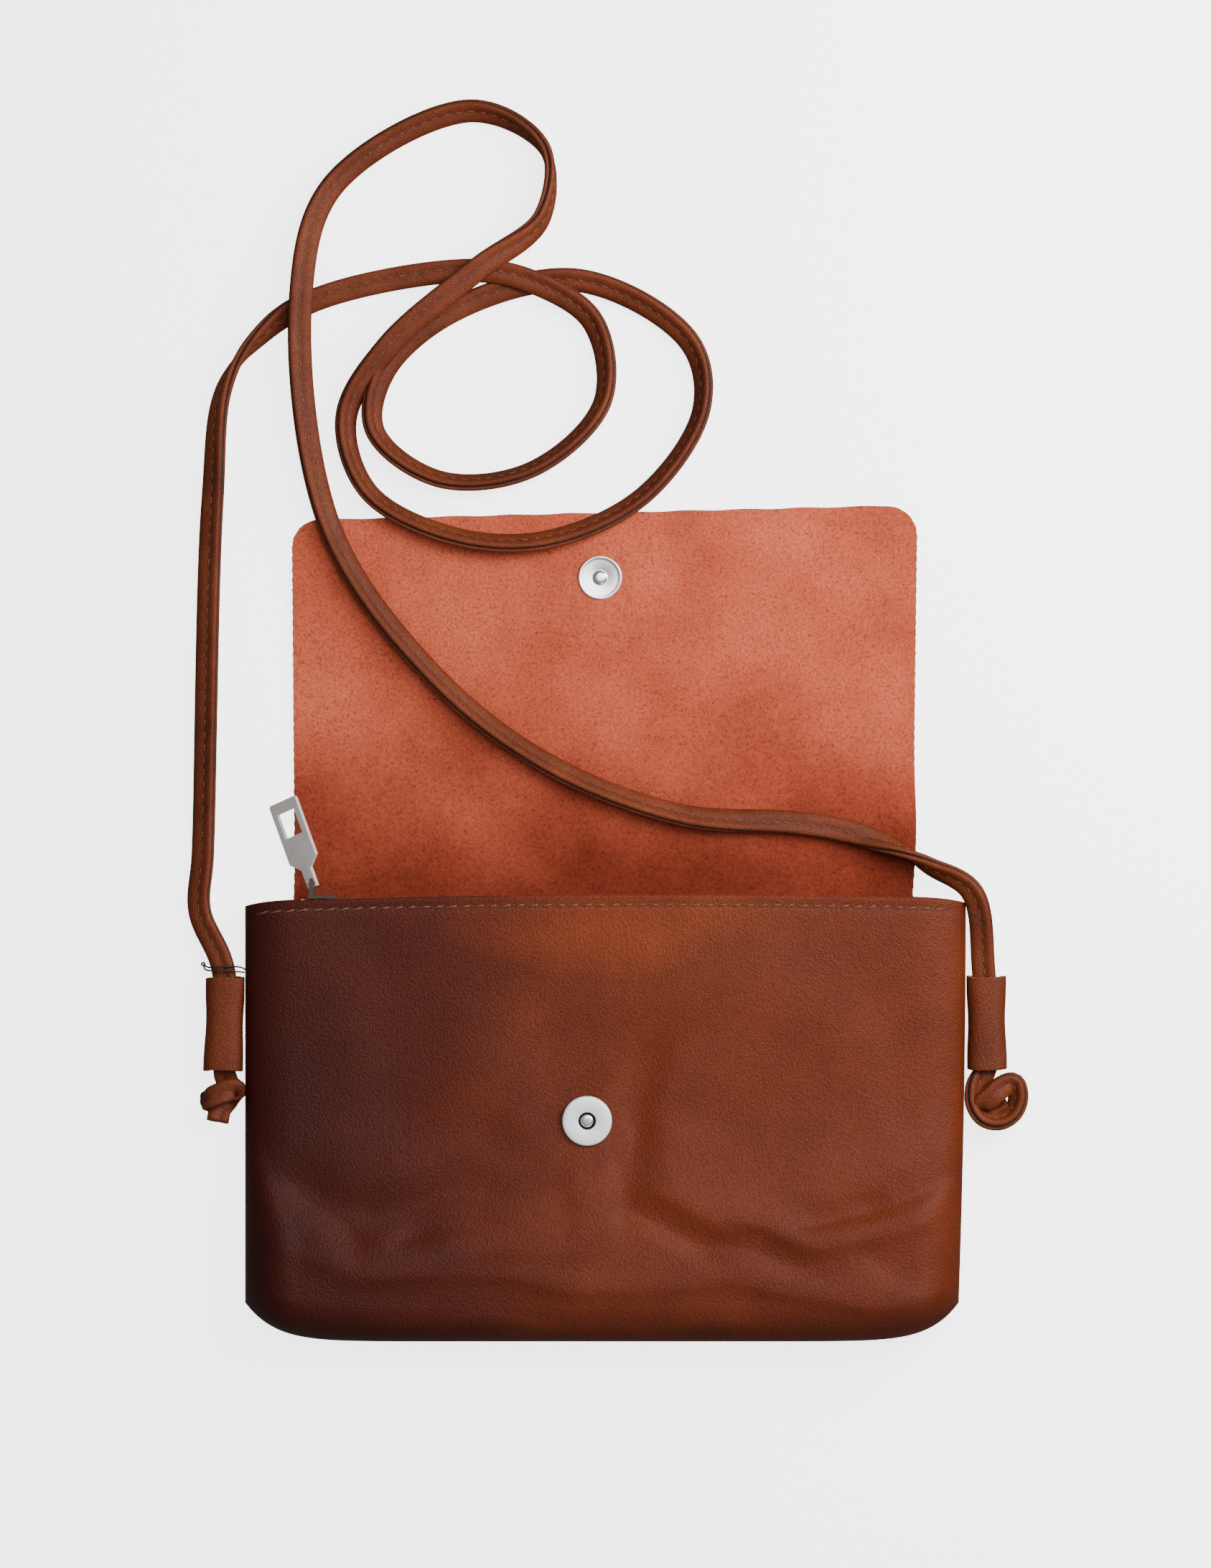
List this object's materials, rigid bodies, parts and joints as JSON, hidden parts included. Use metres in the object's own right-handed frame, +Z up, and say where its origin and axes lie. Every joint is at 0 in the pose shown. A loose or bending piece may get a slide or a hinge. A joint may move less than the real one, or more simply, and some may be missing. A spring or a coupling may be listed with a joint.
{
  "type": "crossbody purse",
  "caption": "Small leather crossbody bag lying open: snap flap with a suede inside, zipped pouch, side loops and a long knotted strap.",
  "frame": {"origin": "Under the middle of the bag without its strap, on the surface that its back lies on.", "axes": "+X is the bag's right as seen from the front, +Y runs from its bottom to its mouth, +Z is up, out of its front."},
  "size_m": [0.2604, 0.3869, 0.0217],
  "materials": {
    "front_leather": "smooth fine-grained cognac leather, satin",
    "back_leather": "smooth fine-grained cognac leather, satin",
    "loop_leather": "smooth cognac leather with raw edges",
    "strap_leather": "folded and stitched leather strap",
    "flap_suede": "terracotta suede, raw flesh side",
    "lining": "thin woven lining",
    "zip_tape": "woven zip tape",
    "board": "stiff fibre board",
    "nickel": "satin nickel",
    "iron": "dull ferrite and plain steel"
  },
  "bodies": {
    "bag": {"front_panel": "front_leather", "back_panel": "back_leather", "lining_front": "lining", "lining_back": "lining", "snap_reinforcement": "board", "body_snap_washer": "nickel", "body_snap_magnet": "iron", "body_snap_socket": "nickel", "body_snap_backing": "iron", "loop_left": "loop_leather", "loop_right": "loop_leather", "strap": "strap_leather", "knot_left": "strap_leather", "knot_right": "strap_leather", "zip_end_stop": "nickel"},
    "flap_strip": {"flap_top": "flap_suede"},
    "flap": {"flap_panel": "flap_suede", "flap_snap_disc": "nickel", "flap_snap_rivet": "nickel"},
    "zip_front": {"zip_tape_front": "zip_tape", "zip_chain_front": "nickel", "zip_top_stop_front": "nickel"},
    "zip_back": {"zip_tape_back": "zip_tape", "zip_chain_back": "nickel", "zip_top_stop_back": "nickel"},
    "slider": {"zip_slider": "nickel"},
    "pull": {"zip_pull": "nickel"}
  },
  "joints": [
    {"name": "flap_fold", "type": "hinge", "parent": "bag", "child": "flap_strip", "pos_m": [0, 0.0165, 0.0014], "axis": [0.9997, -0.0236, 0], "range_deg": [0, 88.2], "deforming": ["strap"]},
    {"name": "flap_bend", "type": "hinge", "parent": "flap_strip", "child": "flap", "pos_m": [0.00032, 0.03004, 0.0014], "axis": [0.9997, -0.0236, 0], "range_deg": [0, 88.2]},
    {"name": "zip_slide", "type": "slide", "parent": "bag", "child": "slider", "axis": [0.9998, -0.0175, 0], "range_m": [0, 0.165], "deforming": ["zip_tape_front", "zip_chain_front", "zip_tape_back", "zip_chain_back"]},
    {"name": "zip_front_close", "type": "hinge", "parent": "bag", "child": "zip_front", "pos_m": [0, -0.002, 0.00995], "axis": [0.9998, -0.0175, 0], "range_deg": [-26, 0]},
    {"name": "zip_back_close", "type": "hinge", "parent": "bag", "child": "zip_back", "pos_m": [0, -0.002, 0.00225], "axis": [0.9998, -0.0175, 0], "range_deg": [0, 26]},
    {"name": "pull_swing", "type": "hinge", "parent": "slider", "child": "pull", "pos_m": [-0.0915, 0.013, 0.008], "axis": [0, 0, 1], "range_deg": [0, 70]}
  ],
  "couplings": [
    {"joint": "flap_bend", "follows": "flap_fold", "ratio": 1},
    {"joint": "pull_swing", "follows": "flap_fold", "ratio": 0.79365},
    {"joint": "zip_front_close", "follows": "zip_slide", "rad_per_m": -2.7502},
    {"joint": "zip_back_close", "follows": "zip_slide", "rad_per_m": 2.7502}
  ]
}
